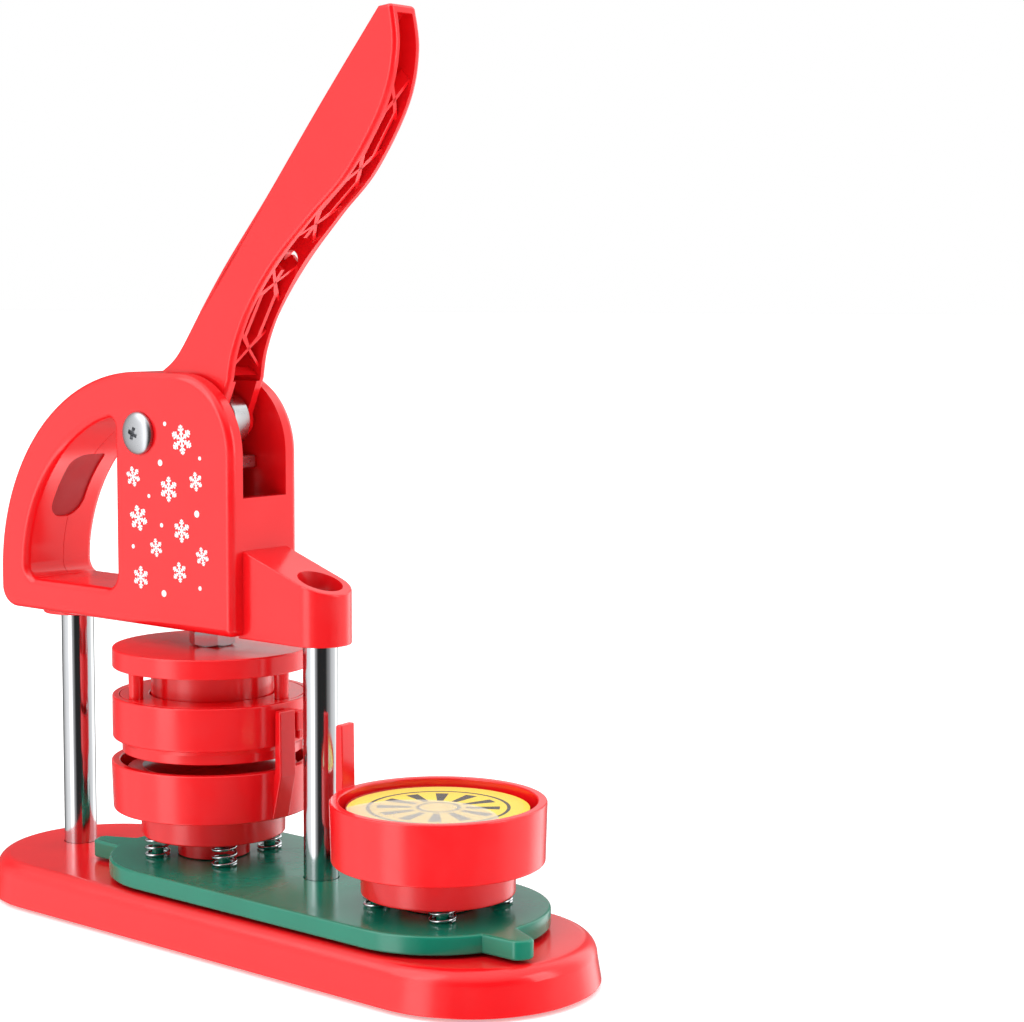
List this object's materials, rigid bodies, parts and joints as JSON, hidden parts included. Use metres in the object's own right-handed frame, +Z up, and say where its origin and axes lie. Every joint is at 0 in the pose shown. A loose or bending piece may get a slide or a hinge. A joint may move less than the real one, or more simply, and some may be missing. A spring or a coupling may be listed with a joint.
{
  "type": "button badge maker",
  "caption": "Hand-lever button badge press on a two-column stand: a side lever with a roller drives a sprung ram over a turning table with sprung cup dies.",
  "frame": {"origin": "middle of the base outline, on the surface the rubber feet rest on", "axes": "+Z up; +X from the rear grip towards the front column and the loading die; +Y to the pivot nut side"},
  "size_m": [0.3066, 0.0986, 0.3664],
  "materials": {
    "red_plastic": "glossy red",
    "green_plastic": "glossy green",
    "chrome": "polished",
    "steel": "satin",
    "bronze": "oiled",
    "rubber": "matt",
    "tinplate": "bright tinplate",
    "yellow_paper": "printed paper",
    "clear_film": "clear film"
  },
  "bodies": {
    "frame": {"base_shell": "red_plastic", "rubber_foot_1": "rubber", "rubber_foot_2": "rubber", "rubber_foot_3": "rubber", "rubber_foot_4": "rubber", "front_column": "chrome", "rear_column": "chrome", "front_column_bolt": "steel", "rear_column_bolt": "steel", "thrust_washer": "steel", "press_head": "red_plastic", "front_head_bolt": "steel", "rear_column_set_screw": "steel", "ram_bush": "bronze", "pivot_screw": "chrome", "pivot_cap_nut": "chrome", "ram_return_spring": "steel"},
    "lever": {"lever": "red_plastic", "roller_pin": "steel", "roller_inner_race": "steel", "roller_spacer_near": "steel", "roller_spacer_far": "steel"},
    "roller": {"roller_outer_race": "steel", "roller_ball_ring": "steel", "roller_shield_near": "steel", "roller_shield_far": "steel"},
    "ram": {"ram_shaft": "steel", "ram_pad": "steel", "ram_nut": "steel", "upper_disc": "red_plastic", "upper_core": "red_plastic", "upper_core_screw": "steel", "guide_leg_1": "red_plastic", "guide_leg_2": "red_plastic", "guide_leg_3": "red_plastic"},
    "float_ring": {"float_sleeve": "red_plastic"},
    "selector": {"selector_ring": "red_plastic"},
    "table": {"turning_table": "green_plastic", "table_bush": "bronze", "die_a_core": "red_plastic", "die_b_core": "red_plastic", "die_a_core_screw": "steel", "die_b_core_screw": "steel", "badge_shell": "tinplate", "artwork_disc": "yellow_paper", "clear_film_disc": "clear_film", "die_a_spring_1": "steel", "die_a_spring_2": "steel", "die_a_spring_3": "steel", "die_a_spring_4": "steel", "die_b_spring_1": "steel", "die_b_spring_2": "steel", "die_b_spring_3": "steel", "die_b_spring_4": "steel"},
    "die_a": {"die_a_cup": "red_plastic"},
    "die_b": {"die_b_cup": "red_plastic"}
  },
  "joints": [
    {"name": "lever_turn", "type": "hinge", "parent": "frame", "child": "lever", "pos_m": [-0.0592, 0, 0.202], "axis": [0, 1, 0], "range_deg": [0, 45]},
    {"name": "roller_spin", "type": "hinge", "parent": "lever", "child": "roller", "pos_m": [-0.0289, 0, 0.2077], "axis": [0, 1, 0], "continuous": true},
    {"name": "ram_slide", "type": "slide", "parent": "frame", "child": "ram", "axis": [0, 0, -1], "range_m": [0, 0.0203], "stiffness_N_per_m": 500, "springref_m": -0.02, "deforming": ["ram_return_spring"]},
    {"name": "ring_lift", "type": "slide", "parent": "ram", "child": "float_ring", "axis": [0, 0, 1], "range_m": [0, 0.01125]},
    {"name": "selector_turn", "type": "hinge", "parent": "float_ring", "child": "selector", "pos_m": [-0.0372, 0, 0.0862], "axis": [0, 0, 1], "range_deg": [-12, 0]},
    {"name": "table_turn", "type": "hinge", "parent": "frame", "child": "table", "pos_m": [0.025, 0, 0.027], "axis": [0, 0, 1], "range_deg": [0, 180]},
    {"name": "die_a_press", "type": "slide", "parent": "table", "child": "die_a", "axis": [0, 0, -1], "range_m": [0, 0.006], "stiffness_N_per_m": 2000, "springref_m": -0.003, "deforming": ["die_a_spring_1", "die_a_spring_2", "die_a_spring_3", "die_a_spring_4"]},
    {"name": "die_b_press", "type": "slide", "parent": "table", "child": "die_b", "axis": [0, 0, -1], "range_m": [0, 0.0035], "stiffness_N_per_m": 2000, "springref_m": -0.003, "deforming": ["die_b_spring_1", "die_b_spring_2", "die_b_spring_3", "die_b_spring_4"]}
  ],
  "couplings": [
    {"joint": "ram_slide", "follows": "lever_turn", "m_per_rad": 0.025847},
    {"joint": "ring_lift", "follows": "lever_turn", "m_per_rad": 0.014324},
    {"joint": "selector_turn", "follows": "table_turn", "ratio": -0.066667}
  ]
}
